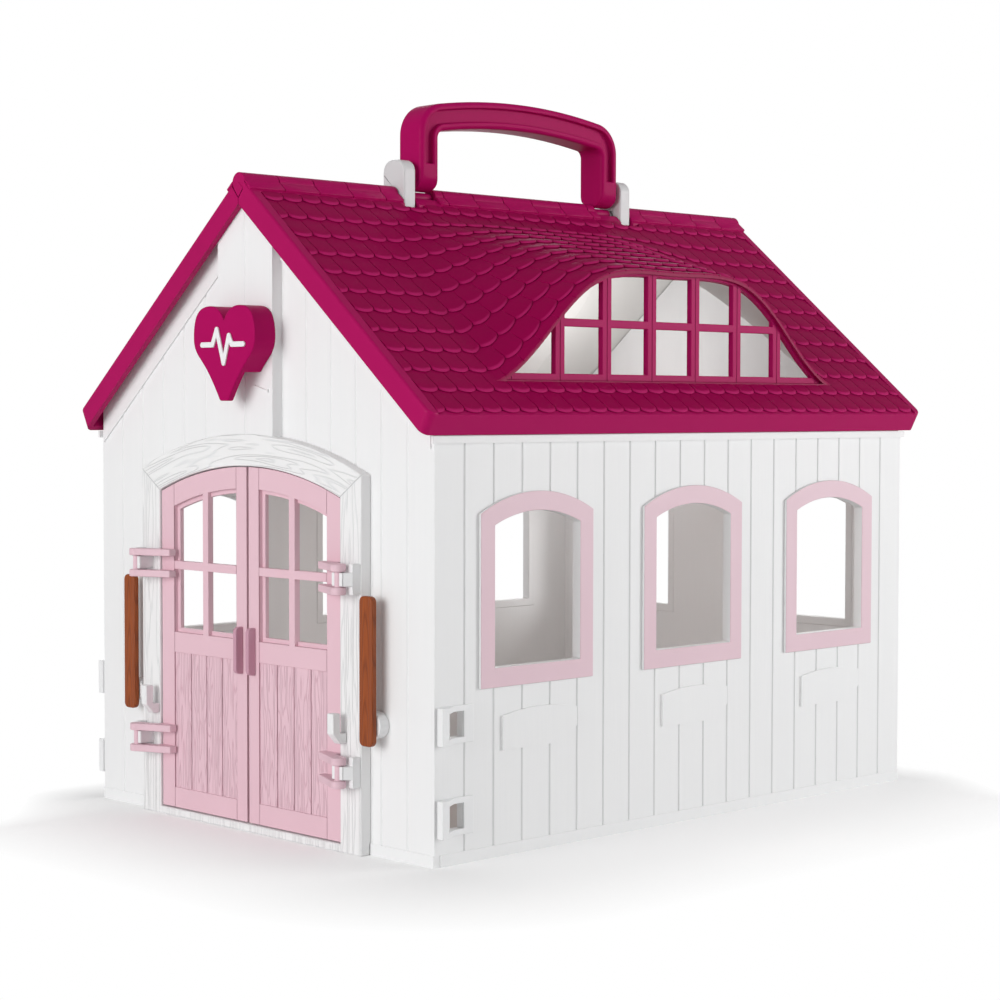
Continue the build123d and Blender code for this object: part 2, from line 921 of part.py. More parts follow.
def knuckle_outline():
    above = (ridge_line_z - ridge_axis_z) * cos(slope_angle)
    corners = [(0, above), (knuckle_tab, above), (knuckle_tab, above - roof_skin), (0, above - roof_skin)]
    tab = polygon([by_ridge(along, height) for along, height in corners])
    return tab + Pos(0, ridge_axis_z) * Circle(ridge_barrel_radius)


def end_knuckle_outline():
    # A drop that closes the peak between the bargeboards
    low = (0, ridge_axis_z - end_knuckle_point)
    share = ridge_barrel_radius / end_knuckle_point
    side_x = ridge_barrel_radius * sqrt(1 - share**2)
    side_z = ridge_axis_z - ridge_barrel_radius * share
    return polygon([low, (side_x, side_z), (0, ridge_axis_z), (-side_x, side_z)])


def knuckle_span(index):
    centre = index * knuckle_pitch
    half = (knuckle_pitch - knuckle_gap) / 2
    return centre - half, centre + half


def leg_spans():
    # Where the handle's legs turn over the ridge, as far as the posts
    near, far = leg_inner_y - leg_side_play, post_inner_y - post_gap
    return (near, far), (-far, -near)


def make_knuckles(parity):
    # The halves' knuckles alternate along the ridge
    knuckles = Part()
    last = knuckle_count // 2
    for index in range(-last, last + 1):
        if index % 2 == parity:
            knuckles += slab_y(knuckle_outline(), *knuckle_span(index))
    for end in (-1, 1):
        if last % 2 == parity:
            y0, y1 = sorted((end * (bay_face + roof_rest_gap), end * roof_half_length))
            knuckles += slab_y(end_knuckle_outline(), y0, y1)
    for y0, y1 in leg_spans():
        knuckles -= block(-beyond, beyond, y0, y1, 0, beyond)
    knuckles -= post_cutouts()
    # The pin's bore is closed at the front end
    bore_start = ridge_bore_inset - roof_half_length
    return knuckles - rod_y(0, ridge_axis_z, ridge_pin_radius + ridge_pin_fit, bore_start, beyond)


def post_cutouts():
    cuts = Part()
    for end in (-1, 1):
        y0, y1 = sorted((end * (post_inner_y - post_gap), end * (post_outer_y + post_gap)))
        cuts += rod_y(0, ridge_axis_z, post_clear_radius, y0, y1)
    return cuts


def make_roof():
    roof = rounded_roof() - tile_field() - roof_hollow() - ridge_gap()
    roof += dormer_wedge(dormer_lift, skin_drop / 2, dormer_x)
    roof -= dormer_wedge(dormer_lift - skin_drop, 2 * skin_drop, frame_back_x)
    roof -= slab_x(dormer_window_outline(0), frame_back_x, frame_front_x)
    roof -= slab_x(dormer_window_outline(dormer_lip), frame_front_x, dormer_x + roof_skin)
    return roof - post_cutouts()


def dormer_window_outline(lip):
    # The window's own outline, standing on a level sill, under a lip of the tiles
    outline = dormer_outline(dormer_x, dormer_lift - lip, skin_drop)
    sill_z = roof_under(dormer_x, 0) + dormer_sill
    above = Pos(0, sill_z + dormer_height) * Rectangle(4 * dormer_foot_half, 2 * dormer_height)
    return outline & above


def make_dormer_frame():
    outer = dormer_window_outline(0)
    low = roof_under(dormer_x, 0) + dormer_sill + dormer_bottom_bar
    above = Pos(0, low + dormer_height) * Rectangle(4 * dormer_foot_half, 2 * dormer_height)
    holes = dormer_outline(dormer_x, dormer_lift - dormer_border, skin_drop) & above
    bars = Sketch()
    for step in range(-3, 3):
        bars += Pos((step + 0.5) * mullion_pitch, transom_z) * Rectangle(mullion_width, 2 * dormer_height)
    bars += Pos(0, transom_z) * Rectangle(4 * dormer_foot_half, transom_height)
    return slab_x(outer - (holes - bars), frame_back_x, frame_front_x)


# The parts and their names


def all_parts():
    right_wall = make_right_wall()
    parts = {
        "front_wall": make_front_wall(),
        "rear_wall": make_rear_wall(),
        "right_wall": right_wall,
        "left_wall": mirrored(right_wall),
        "floor_plate": make_floor(),
        "floor_screws": make_screws(),
        "door_surround": make_surround(),
        "hinge_clips": make_hinge_clips(),
        "bar_hubs": make_hubs(),
        "bar_hooks": make_hooks(),
        "heart_sign": make_heart(),
        "sign_emblem": make_emblem(),
        "fence_loops": make_loops(),
        "ridge_beam": make_beam(),
        "handle_post_front": make_post(-1),
        "handle_post_rear": make_post(1),
        "ridge_pin": make_ridge_pin(),
        "handle": make_handle(),
        "roof_knuckles_right": make_knuckles(0),
        "roof_knuckles_left": mirrored(make_knuckles(1)),
    }
    for number, centre in enumerate(side_window_places(), 1):
        frame = make_side_frame(centre)
        parts[f"window_frame_right_{number}"] = frame
        parts[f"window_frame_left_{number}"] = mirrored(frame)
    for number, centre in enumerate(rear_window_places(), 1):
        parts[f"window_frame_rear_{number}"] = make_rear_frame(centre)
    sided = {
        "door": make_door(),
        "door_pull": make_pull(),
        "door_hinges": make_door_hinges(),
        "lock_bar": make_bar(),
        "roof": make_roof(),
        "dormer_frame": make_dormer_frame(),
    }
    for name, shape in sided.items():
        parts[name + "_right"] = shape
        parts[name + "_left"] = mirrored(shape)
    return parts


os.makedirs("parts", exist_ok=True)
for name, shape in all_parts().items():
    export_step(shape, f"parts/{name}.step")
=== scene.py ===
import json
from math import asin, atan2, cos, pi, radians, sin, sqrt

import bpy
from mathutils import Matrix, Vector
from mathutils.bvhtree import BVHTree


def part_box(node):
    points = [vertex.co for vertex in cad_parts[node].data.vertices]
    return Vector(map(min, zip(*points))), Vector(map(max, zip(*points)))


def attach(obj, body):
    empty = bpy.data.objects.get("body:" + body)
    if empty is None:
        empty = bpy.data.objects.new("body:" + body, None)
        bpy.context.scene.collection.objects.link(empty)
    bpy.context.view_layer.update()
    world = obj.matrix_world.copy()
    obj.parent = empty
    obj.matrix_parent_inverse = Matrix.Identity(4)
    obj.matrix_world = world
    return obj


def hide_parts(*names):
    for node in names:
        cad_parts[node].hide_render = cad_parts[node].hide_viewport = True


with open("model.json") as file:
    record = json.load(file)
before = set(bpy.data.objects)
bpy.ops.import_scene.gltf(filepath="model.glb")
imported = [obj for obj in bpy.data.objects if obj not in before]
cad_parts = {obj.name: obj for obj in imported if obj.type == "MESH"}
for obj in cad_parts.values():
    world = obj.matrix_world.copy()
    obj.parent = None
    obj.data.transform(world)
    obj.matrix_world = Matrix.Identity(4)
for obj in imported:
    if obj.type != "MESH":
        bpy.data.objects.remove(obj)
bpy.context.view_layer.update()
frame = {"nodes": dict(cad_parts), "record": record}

# Toy horse hospital: the looks. Metres, doors toward -Y.
mm = 0.001
nodes = frame["nodes"]
body_of_node = {
    name: body for body, names in frame["record"]["behaviour"]["bodies"].items() for name in names
}
slot_of_node = {row["node"]: row["material_slot"] for row in frame["record"]["subparts"]}

# Places that the finishes follow, in millimetres
footprint_x, footprint_y = 92.5, 126.0
portal_face = 130.0
arch_centre_drop, arch_radius = 12.6, 146.0
mitre_x, mitre_z, mitre_slope = 50.7, 118.8, 0.69
door_face = 129.0
stile_inner, stile_outer = 6.4, 42.9
plank_inner, plank_outer = 6.5, 42.8
plank_low, plank_high = 10.5, 59.7
plank_pitch, plank_gap = 9.1, 20.1
first_gap, last_gap = 12.0, 37.0
side_frame_face, rear_frame_face = 93.7, 127.2
lining_x, lining_y = 81.0, 127.0
window_lip_x, window_lip_half = 84.0, 93.0
mullion_pitch, lattice_face = 23.6, 83.1


# Camera

def add_camera():
    azimuth, tilt, roll = radians(45.649), radians(2.373), radians(0.095)
    ahead = Vector((-sin(azimuth) * cos(tilt), cos(azimuth) * cos(tilt), -sin(tilt)))
    level = ahead.cross(Vector((0, 0, 1))).normalized()
    upward = level.cross(ahead)
    right = level * cos(roll) + upward * sin(roll)
    up = upward * cos(roll) - level * sin(roll)
    lens = bpy.data.cameras.new("photo_camera")
    lens.lens = 81.03
    lens.sensor_width = 36
    camera = bpy.data.objects.new("photo_camera", lens)
    turn = Matrix((right, up, -ahead)).transposed().to_4x4()
    camera.matrix_world = Matrix.Translation((0.62225, -0.61453, 0.14894)) @ turn
    bpy.context.scene.collection.objects.link(camera)
    bpy.context.scene.camera = camera


add_camera()


# Shader maths and finishes

class Wire:
    """A shader value that can be used in a Python expression."""

    def __init__(self, shading, socket):
        self.shading = shading
        self.socket = socket

    def maths(self, operation, *values, clamp=False):
        settings = {"operation": operation, "use_clamp": clamp}
        return self.shading.node("ShaderNodeMath", settings, dict(enumerate(values)))

    def __add__(self, other):
        return self.maths("ADD", self, other)

    def __sub__(self, other):
        return self.maths("SUBTRACT", self, other)

    def __rsub__(self, other):
        return self.maths("SUBTRACT", other, self)

    def __mul__(self, other):
        return self.maths("MULTIPLY", self, other)

    def __truediv__(self, other):
        return self.maths("DIVIDE", self, other)

    def __pow__(self, other):
        return self.maths("POWER", self, other)

    def __abs__(self):
        return self.maths("ABSOLUTE", self)

    __radd__ = __add__
    __rmul__ = __mul__

    def clamped(self):
        return self.maths("ADD", self, 0.0, clamp=True)

    def part(self):
        return self.maths("FRACT", self)

    def above(self, level, soft):
        """0 below a level, 1 above it."""
        return self.maths("MULTIPLY", self - (level - soft / 2), 1 / soft, clamp=True)

    def near(self, level, half, soft):
        """1 within half of a level, 0 further off."""
        return 1 - abs(self - level).above(half, soft)


class Shading:
    """The shader nodes of a finish or of the backdrop."""

    def __init__(self, tree):
        self.tree = tree

    def node(self, kind, settings=None, values=None, output=0):
        made = self.tree.nodes.new(kind)
        for name, value in (settings or {}).items():
            setattr(made, name, value)
        for name, value in (values or {}).items():
            self.join(made.inputs[name], value)
        return Wire(self, made.outputs[output])

    def join(self, socket, value):
        if isinstance(value, Wire):
            self.tree.links.new(value.socket, socket)
        else:
            socket.default_value = value


class Finish(Shading):
    """A finish whose patterns are drawn in millimetres of the piece's own coordinates."""

    def __init__(self, name, specular=0.4, metallic=0.0, coat=0.0):
        self.material = bpy.data.materials.new(name)
        self.material.use_nodes = True
        super().__init__(self.material.node_tree)
        self.shader = self.tree.nodes["Principled BSDF"]
        self.shader.inputs["Specular IOR Level"].default_value = specular
        self.shader.inputs["Metallic"].default_value = metallic
        self.shader.inputs["Coat Weight"].default_value = coat
        self.shader.inputs["Coat Roughness"].default_value = 0.3
        here = self.node("ShaderNodeTexCoord", output="Object")
        self.place = self.node(
            "ShaderNodeVectorMath", {"operation": "SCALE"}, {0: here, "Scale": 1 / mm}
        )
        self.x, self.y, self.z = self.split(self.place)

    def split(self, vector):
        parts = self.node("ShaderNodeSeparateXYZ", None, {0: vector}).socket.node
        return [Wire(self, socket) for socket in parts.outputs]

    def vector(self, x, y, z):
        return self.node("ShaderNodeCombineXYZ", None, {0: x, 1: y, 2: z})

    def noise(self, size, stretch=(1, 1, 1), detail=2.0, place=None):
        """Cloudy noise from 0 to 1, with spots about this many millimetres across."""
        shares = [1 / (size * share) for share in stretch]
        place = self.node(
            "ShaderNodeVectorMath", {"operation": "MULTIPLY"}, {0: place or self.place, 1: shares}
        )
        return self.node("ShaderNodeTexNoise", None, {"Vector": place, "Scale": 1.0, "Detail": detail})

    def blend(self, share, first, second):
        settings = {"data_type": "RGBA"}
        return self.node("ShaderNodeMix", settings, {0: share, 6: first, 7: second}, output=2)

    def finish(self, colour, rough, height=None, strength=0.5):
        """Joins a colour, a roughness and, in millimetres, a surface height to the shader."""
        self.join(self.shader.inputs["Base Color"], colour)
        self.join(self.shader.inputs["Roughness"], rough)
        if height is not None:
            values = {"Height": height * mm, "Strength": strength, "Distance": 1.0}
            bump = self.node("ShaderNodeBump", None, values)
            self.join(self.shader.inputs["Normal"], bump)
        return self.material


def shade(red, green, blue):
    return (red, green, blue, 1.0)


def moulded(name, colour, roughness, specular=0.35, vary=0.06, coat=0.0):
    """Injection-moulded plastic: faint flow clouds, a fine satin grain and uneven gloss."""
    made = Finish(name, specular, coat=coat)
    flow = made.noise(24.0, (1, 1, 2), 3.0)
    grain = made.noise(0.35, detail=1.0)
    dark = shade(*[part * (1 - vary) for part in colour])
    light = shade(*[part * (1 + vary / 2) for part in colour])
    rough = roughness - 0.05 + flow * 0.1
    return made.finish(made.blend(flow, dark, light), rough, grain * 0.012 + flow * 0.05, 0.4)


def board_white(name):
    """White wall boards with a faint upright grain."""
    made = Finish(name, 0.3)
    grain = made.noise(1.1, (1, 1, 26), 3.0)
    flow = made.noise(30.0, (1, 1, 2), 2.0)
    colour = made.blend(grain * 0.5 + flow * 0.5, shade(0.86, 0.865, 0.87), shade(0.9, 0.9, 0.9))
    return made.finish(colour, 0.4 + flow * 0.1, grain * 0.06, 0.5)


def carved_lines(made, place, size, stretch):
    """Wavy grain lines pressed into the plastic, from 0 on the face to 1 in a line."""
    bands = made.noise(size, stretch, 1.0, place) * 10.0
    return (bands.part() - 0.5).near(0.0, 0.05, 0.24)


def portal_white(name):
    """White portal boards: grain up the jambs, along the arch, and the joint between them."""
    made = Finish(name, 0.3)
    side = abs(made.x)
    up = carved_lines(made, made.place, 4.0, (1, 1, 22))
    arch_x, arch_z = made.x, made.z + arch_centre_drop
    radius = (arch_x * arch_x + arch_z * arch_z) ** 0.5
    along = arch_x / arch_z * arch_radius
    over = carved_lines(made, made.vector(radius, made.y, along), 4.0, (1, 1, 14))
    joint_z = mitre_z + (side - mitre_x) * mitre_slope
    on_arch = (made.z - joint_z).above(0.0, 0.1)
    front = (made.y * -1).above(portal_face, 0.2)
    joint = (made.z - joint_z).near(0.0, 0.12, 0.25) * side.above(50.0, 0.5)
    lines = (up * (1 - on_arch) + over * on_arch) * (1 - joint)
    marks = (lines * 0.8 + joint) * front
    soft = made.noise(0.8, (1, 1, 10), 2.0)
    colour = made.blend(marks.clamped(), shade(0.89, 0.89, 0.89), shade(0.72, 0.73, 0.74))
    return made.finish(colour, 0.42 + soft * 0.08, marks * -0.32 + soft * 0.05, 0.9)


def door_pink(name):
    """Pink doors: smooth stiles and rails, joint lines, and grained planks."""
    made = Finish(name, 0.3)
    side = abs(made.x)
    plank = side.above(plank_inner, 0.1) * (1 - side.above(plank_outer, 0.1))
    plank = plank * made.z.above(plank_low, 0.1) * (1 - made.z.above(plank_high, 0.1))
    lines = carved_lines(made, made.place, 2.8, (1, 1, 15)) * plank
    gaps = abs(((side - plank_gap) / plank_pitch).part() - 0.5).near(0.0, 0.012, 0.02) * plank
    gaps = gaps * side.above(first_gap, 0.5) * (1 - side.above(last_gap, 0.5))
    fine = made.noise(0.5, (1, 1, 18), 2.0) * plank
    stiles = side.near(stile_inner, 0.08, 0.2) + side.near(stile_outer, 0.08, 0.2)
    front = (made.y * -1).above(door_face, 0.1)
    joints = stiles.clamped() * (1 - plank) * front
    marks = (lines * 0.7 + joints + gaps).clamped()
    flow = made.noise(22.0, (1, 1, 2), 2.0)
    plain = made.blend(flow, shade(0.78, 0.525, 0.595), shade(0.82, 0.56, 0.63))
    pressed = made.blend(fine * 0.4, plain, shade(0.86, 0.63, 0.7))
    colour = made.blend(marks, pressed, shade(0.58, 0.31, 0.38))
    return made.finish(colour, 0.42 + flow * 0.08, marks * -0.35 + fine * 0.15, 0.9)


def framed_pink(name, along_x):
    """A white moulded window frame whose front face is pink."""
    made = Finish(name, 0.3)
    out = abs(made.x) - side_frame_face if along_x else made.y - rear_frame_face
    face = out.above(-0.16, 0.06)
    flow = made.noise(24.0, (1, 1, 2), 3.0)
    grain = made.noise(0.35, detail=1.0)
    pink = made.blend(flow, shade(0.755, 0.545, 0.61), shade(0.8, 0.59, 0.655))
    white = made.blend(flow, shade(0.84, 0.845, 0.85), shade(0.88, 0.88, 0.88))
    colour = made.blend(face, white, pink)
    return made.finish(colour, 0.38 + flow * 0.08, grain * 0.012 + flow * 0.05, 0.4)


def lined_magenta(name):
    """Magenta roof shells, lined in pale grey, with painted shade along the cut edge of the roof
    window.
    """
    made = Finish(name, 0.1)
    flow = made.noise(24.0, (1, 1, 2), 3.0)
    grain = made.noise(0.35, detail=1.0)
    level = made.node("ShaderNodeNewGeometry", output="True Normal")
    height = made.split(level)[2]
    inside = (height * -1).above(0.3, 0.1) * (1 - abs(made.x).above(lining_x, 0.3))
    inside = inside * (1 - abs(made.y).above(lining_y, 0.5))
    # Painted shade: the cut face beside the roof window is darkened where it would otherwise show lit.
    lip_painted_light = abs(made.x).near(window_lip_x, 1.0, 0.1)
    lip_painted_light = lip_painted_light * (1 - abs(made.y).above(window_lip_half, 0.5))
    outer = made.blend(flow, shade(0.395, 0.0028, 0.098), shade(0.435, 0.003, 0.108))
    outer = made.blend(lip_painted_light, outer, shade(0.29, 0.0008, 0.062))
    colour = made.blend(inside, outer, shade(0.72, 0.71, 0.69))
    return made.finish(colour, 0.38 + flow * 0.08, grain * 0.012 + flow * 0.05, 0.4)


def bar_brown(name, centre_x):
    """Brown lock bar with the tongues of flat-sawn wood along its length."""
    made = Finish(name, 0.35, coat=0.1)
    across = made.x - centre_x
    wobble = made.noise(5.0, (1, 1, 4), 2.0)
    tongues = made.z * 0.07 + across * across * 0.3 + wobble * 1.6
    rings = tongues.part().near(0.5, 0.08, 0.4)
    fine = made.noise(0.35, (1, 1, 22), 2.0)
    light = made.blend(fine, shade(0.38, 0.085, 0.011), shade(0.25, 0.045, 0.005))
    colour = made.blend(rings * 0.75, light, shade(0.13, 0.022, 0.003))
    return made.finish(colour, 0.38 + fine * 0.12, rings * -0.12 + fine * -0.06, 0.8)


def screw_zinc(name):
    made = Finish(name, 0.5, metallic=1.0)
    turned = made.noise(0.3, (1, 1, 4), 2.0)
    colour = made.blend(turned, shade(0.48, 0.48, 0.5), shade(0.62, 0.62, 0.64))
    return made.finish(colour, 0.3 + turned * 0.15, turned * 0.02, 0.5)


def tile_magenta(name):
    """Roof tile plastic, painted darker as shade on the slope, with a painted highlight along the
    rounded lower lips where they catch the light.
    """
    made = Finish(name, 0.04)
    lip_painted_light = made.node("ShaderNodeAttribute", {"attribute_name": "lip_painted_light"}, output="Fac")
    flow = made.noise(24.0, (1, 1, 2), 3.0)
    grain = made.noise(0.35, detail=1.0)
    # Partly painted shade: the magenta plastic is made darker here than on the roof's edges, standing
    # in for the shade on the slope.
    plain = made.blend(flow, shade(0.3, 0.0005, 0.064), shade(0.335, 0.001, 0.076))
    # Painted highlight: paler pink along the tiles' lower lips, where they would catch the light.
    colour = made.blend(lip_painted_light * 0.6, plain, shade(0.6, 0.03, 0.19))
    return made.finish(colour, 0.38 + flow * 0.08, grain * 0.012 + flow * 0.05, 0.4)


def lattice_magenta(name):
    """The roof windows' plastic, with the joint down the middle of each upright bar."""
    made = Finish(name, 0.07)
    joint = abs((made.y / mullion_pitch).part() - 0.5).near(0.0, 0.006, 0.01)
    joint = joint * abs(made.x).above(lattice_face, 0.1)
    flow = made.noise(18.0, (1, 1, 2), 2.0)
    plain = made.blend(flow, shade(0.4, 0.003, 0.1), shade(0.44, 0.005, 0.115))
    colour = made.blend(joint, plain, shade(0.12, 0.0005, 0.025))
    return made.finish(colour, 0.38 + flow * 0.08, joint * -0.3 + flow * 0.05, 0.6)


finishes = {
    "white_wall": board_white("wall_board_white"),
    "white_trim": moulded("trim_white", (0.88, 0.885, 0.89), 0.36, 0.4, 0.03),
    "roof_magenta": moulded("roof_edge_magenta", (0.42, 0.003, 0.105), 0.42, 0.1),
    "magenta": moulded("handle_magenta", (0.42, 0.0035, 0.105), 0.4, 0.04),
    "pink": moulded("hinge_pink", (0.79, 0.55, 0.62), 0.42, 0.3, 0.04),
    "dark_pink": moulded("pull_pink", (0.6, 0.33, 0.42), 0.42, 0.3),
    "floor_grey": moulded("floor_beige_grey", (0.62, 0.59, 0.56), 0.5, 0.25),
    "screw_steel": screw_zinc("screw_zinc"),
}
tile_finish = tile_magenta("roof_tile_magenta")
lattice_finish = lattice_magenta("roof_window_magenta")
roof_finish = lined_magenta("roof_shell_magenta")
side_frame_finish = framed_pink("side_window_pink", True)
rear_frame_finish = framed_pink("rear_window_pink", False)
portal_finish = portal_white("portal_white")
post_finish = moulded("post_grey_white", (0.7, 0.705, 0.71), 0.36, 0.3, 0.03)
door_finish = door_pink("door_pink")


def finish_for(node):
    if node == "door_surround":
        return portal_finish
    if node in ("door_right", "door_left"):
        return door_finish
    if node.startswith("dormer_frame"):
        return lattice_finish
    if node in ("roof_right", "roof_left"):
        return roof_finish
    if node.startswith("window_frame"):
        return rear_frame_finish if "rear" in node else side_frame_finish
    if node.startswith("handle_post"):
        return post_finish
    if node.startswith("lock_bar"):
        low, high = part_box(node)
        return bar_brown(node + "_brown", (low.x + high.x) / 2 / mm)
    return finishes[slot_of_node[node]]


def coat(piece, material):
    piece.data.materials.clear()
    piece.data.materials.append(material)
    for face in piece.data.polygons:
        face.material_index = 0


# Working by hand

def let_go():
    if bpy.context.object and bpy.context.object.mode != "OBJECT":
        bpy.ops.object.mode_set(mode="OBJECT")
    bpy.ops.object.select_all(action="DESELECT")


def take(piece):
    let_go()
    piece.select_set(True)
    bpy.context.view_layer.objects.active = piece


def edit(piece):
    take(piece)
    bpy.ops.object.mode_set(mode="EDIT")
    bpy.ops.mesh.select_all(action="SELECT")


def done():
    bpy.ops.object.mode_set(mode="OBJECT")


def use(piece, kind, **settings):
    take(piece)
    tool = piece.modifiers.new(kind.lower(), kind)
    for name, value in settings.items():
        setattr(tool, name, value)
    bpy.ops.object.modifier_apply(modifier=tool.name)


def smooth(piece, angle=30):
    take(piece)
    bpy.ops.object.shade_smooth_by_angle(angle=radians(angle))


def clean(piece, gap=0.000002):
    edit(piece)
    bpy.ops.mesh.remove_doubles(threshold=gap)
    bpy.ops.mesh.normals_make_consistent(inside=False)
    done()


def named(piece, name, body, material):
    piece.name = name
    piece.data.name = name
    coat(piece, material)
    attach(piece, body)
    return piece


def softened(node, width, segments=2):
    """The CAD node again with its edges rounded, as they come from a mould."""
    piece = bpy.data.objects.new(node + "_moulded", nodes[node].data.copy())
    bpy.context.scene.collection.objects.link(piece)
    edit(piece)
    bpy.ops.mesh.customdata_custom_splitnormals_clear()
    bpy.ops.mesh.remove_doubles(threshold=0.000002)
    bpy.ops.mesh.dissolve_limited(angle_limit=radians(0.8))
    done()
    smooth(piece, 32)
    use(
        piece, "BEVEL", width=width * mm, segments=segments, limit_method="ANGLE",
        angle_limit=radians(38), use_clamp_overlap=False, harden_normals=True,
    )
    named(piece, node + "_moulded", body_of_node[node], finish_for(node))
    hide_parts(node)


edge_widths = {
    "door_surround": 0.45, "hinge_clips": 0.22, "bar_hubs": 0.5, "bar_hooks": 0.45,
    "heart_sign": 0.45, "sign_emblem": 0.2, "fence_loops": 0.25,
    "handle_post_front": 0.8, "handle_post_rear": 0.8, "handle": 0.45,
}
for side in ("right", "left"):
    edge_widths["door_" + side] = 0.18
    edge_widths["door_pull_" + side] = 0.3
    edge_widths["door_hinges_" + side] = 0.3
    edge_widths["lock_bar_" + side] = 0.5
    edge_widths["dormer_frame_" + side] = 0.3
    for number in (1, 2, 3):
        edge_widths[f"window_frame_{side}_{number}"] = 0.4
for number in (1, 2):
    edge_widths[f"window_frame_rear_{number}"] = 0.4
for node, width in edge_widths.items():
    softened(node, width)
for node, piece in nodes.items():
    if node not in edge_widths:
        coat(piece, finish_for(node))


# Roof tiles

eave_x = 97.8
eave_z = 146.8
roof_rise = 82.1
roof_fall = roof_rise / eave_x
roof_angle = atan2(roof_rise, eave_x)
ridge_z = eave_z + roof_rise
pin_z = ridge_z - 2.6
roof_end = 133.0
field_end = 128.7
field_drop = 0.6 / cos(roof_angle)
field_from = 7.2
tile_width = 8.44
row_pitch = 10.3 * cos(roof_angle)
first_row = 10.4
row_count = 12
tile_joint = 0.35
tile_cover = 1.4
tile_sweep = 1.15
window_x = 84.9
tiles_in_row = 31
tile_top = 6.5
above_roof = 300


def one_tile():
    """A scale tile with a swept lower edge, lying flat, its tip at the origin."""
    let_go()
    bpy.ops.mesh.primitive_grid_add(x_subdivisions=4, y_subdivisions=6, size=1)
    tile = bpy.context.object
    length = row_pitch + tile_cover
    half = (tile_width - tile_joint) / 2
    steps = [-length, -length * 0.55, -0.85, -0.3, 0.0]
    lifts = [0.06, 0.45, 0.92, 0.8, 0.42]
    # Weights of the painted highlight on each step of the lower lip, read by the tile finish.
    pale = [0.0, 0.0, 0.0, 0.9, 1.0]
    lip_painted_light = tile.data.attributes.new("lip_painted_light", "FLOAT", "POINT")
    for vertex in tile.data.vertices:
        step = round((vertex.co.x + 0.5) * 4)
        across = vertex.co.y * 2
        sweep = tile_sweep * (1 - sqrt(1 - 0.75 * across * across)) * 2
        share = min(1, max(0, (steps[step] + 5) / 5)) if step else 0
        rounded = 0.12 * max(0, abs(across) - 0.6) / 0.4
        # Painted highlight, fading towards the tile's corners.
        lip_painted_light.data[vertex.index].value = pale[step] * (1 - 0.8 * across**4)
        vertex.co = (steps[step] - sweep * share, across * half, lifts[step] - rounded)
    use(tile, "SOLIDIFY", thickness=0.6, offset=-1.0)
    return tile


def tile_sheet():
    """Two rows half a tile apart, repeated along the ridge and down the slope."""
    first = one_tile()
    for vertex in first.data.vertices:
        vertex.co.x += first_row
        vertex.co.y += tile_width / 2 - field_end
    second = bpy.data.objects.new("second_row", first.data.copy())
    bpy.context.scene.collection.objects.link(second)
    for vertex in second.data.vertices:
        vertex.co.x += row_pitch
        vertex.co.y -= tile_width / 2
    take(first)
    second.select_set(True)
    bpy.ops.object.join()
    shape = {"use_relative_offset": False, "use_constant_offset": True}
    along, down = (0, tile_width, 0), (2 * row_pitch, 0, 0)
    use(first, "ARRAY", count=tiles_in_row, constant_offset_displace=along, **shape)
    use(first, "ARRAY", count=row_count // 2, constant_offset_displace=down, **shape)
    return first


def cut(piece, place, facing):
    """Cuts along a plane, drops what lies on the side it faces and closes the cut."""
    edit(piece)
    bpy.ops.mesh.bisect(plane_co=place, plane_no=facing, use_fill=True, clear_outer=True)
    done()


def lay(sheet, roof, from_x, to_x):
    """Lets the flat sheet down on the roof, so that it follows the eyebrow."""
    for vertex in sheet.data.vertices:
        x, y, lift = vertex.co
        reach = min(max(x, from_x), to_x)
        base = ridge_z - roof_fall * x - field_drop
        if reach >= field_from:
            hit = roof.ray_cast(Vector((reach, y, above_roof)) * mm, Vector((0, 0, -1)))[0]
            if hit:
                base = hit.z / mm - roof_fall * (x - reach)
        vertex.co = Vector((x, y, base + lift / cos(roof_angle))) * mm


def mirror_copy(piece, name):
    """The same piece for the other side of the ridge."""
    twin = bpy.data.objects.new(name, piece.data.copy())
    bpy.context.scene.collection.objects.link(twin)
    for vertex in twin.data.vertices:
        vertex.co.x = -vertex.co.x
    edit(twin)
    bpy.ops.mesh.flip_normals()
    done()
    return twin


def lay_tiles():
    roof_mesh = nodes["roof_right"].data
    roof = BVHTree.FromPolygons(
        [vertex.co for vertex in roof_mesh.vertices], [face.vertices for face in roof_mesh.polygons]
    )
    upper = tile_sheet()
    cut(upper, (tile_top, 0, 0), (-1, 0, 0))
    cut(upper, (0, field_end, 0), (0, 1, 0))
    cut(upper, (0, -field_end, 0), (0, -1, 0))
    lower = bpy.data.objects.new("lower_tiles", upper.data.copy())
    bpy.context.scene.collection.objects.link(lower)
    cut(upper, (window_x - 0.02, 0, 0), (1, 0, 0))
    cut(lower, (window_x + 0.02, 0, 0), (-1, 0, 0))
    lay(upper, roof, 0, window_x - 0.06)
    lay(lower, roof, window_x + 0.06, eave_x - 0.3)
    take(upper)
    lower.select_set(True)
    bpy.ops.object.join()
    clear_posts(upper)
    clean(upper, 0.000001)
    smooth(upper, 40)
    twin = mirror_copy(upper, "roof_tiles_left")
    named(upper, "roof_tiles_right", "roof_right", tile_finish)
    smooth(twin, 40)
    named(twin, "roof_tiles_left", "roof_left", tile_finish)


post_from, post_to = 54.8, 61.9
post_clear = 9.4


def clear_posts(sheet):
    """Pulls the tiles' upper ends back from the handle posts."""
    for vertex in sheet.data.vertices:
        x, y = vertex.co.x / mm, abs(vertex.co.y) / mm
        if post_from - 2 < y < post_to + 2 and x < post_clear - 1:
            vertex.co.x = (post_clear - 1) * mm
            vertex.co.z -= roof_fall * (post_clear - 1 - x) * mm


lay_tiles()


# Ridge tiles

